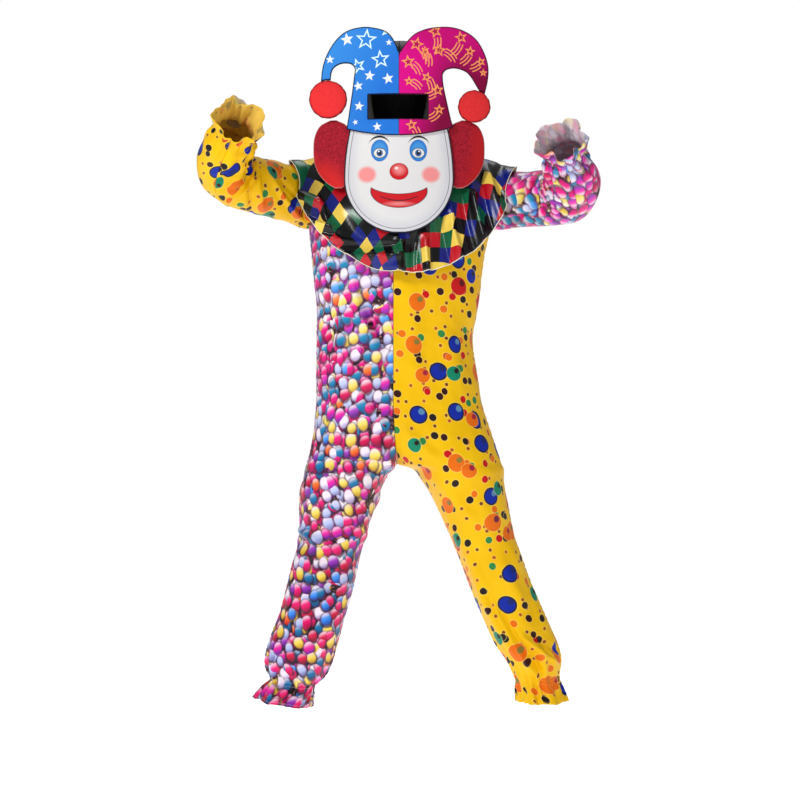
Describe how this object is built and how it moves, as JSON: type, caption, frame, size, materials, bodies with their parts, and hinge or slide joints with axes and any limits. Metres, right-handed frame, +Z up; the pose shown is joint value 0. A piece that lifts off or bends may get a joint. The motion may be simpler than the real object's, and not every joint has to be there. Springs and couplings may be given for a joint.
{
  "type": "worn clown costume",
  "caption": "Worn two-colour clown jumpsuit with elastic ruffled cuffs and ankles, harlequin cape collar and a foam jester headpiece with a face panel.",
  "frame": {"origin": "centre of the neck opening, between the wearer's shoulders", "axes": "+Z up along the body, -Y the front, -X the wearer's right"},
  "size_m": [0.9532, 0.5335, 1.6411],
  "materials": {
    "balloon_cloth": "printed satin",
    "yellow_cloth": "printed satin",
    "harlequin_satin": "glossy satin",
    "blue_foam": "printed foam",
    "magenta_foam": "printed foam",
    "red_fluff": "napped",
    "white_foam": "printed foam",
    "hair_foam": "printed foam",
    "black_cloth": "matt"
  },
  "bodies": {
    "root": {"front_right": "balloon_cloth", "back_right": "balloon_cloth", "front_left": "yellow_cloth", "back_left": "yellow_cloth", "sleeve_right": "yellow_cloth", "sleeve_left": "balloon_cloth", "collar": "harlequin_satin", "hat_right": "blue_foam", "hat_left": "magenta_foam", "pompom_right": "red_fluff", "pompom_left": "red_fluff", "face_panel": "white_foam", "hair_right": "hair_foam", "hair_left": "hair_foam", "hood": "black_cloth"}
  },
  "joints": []
}
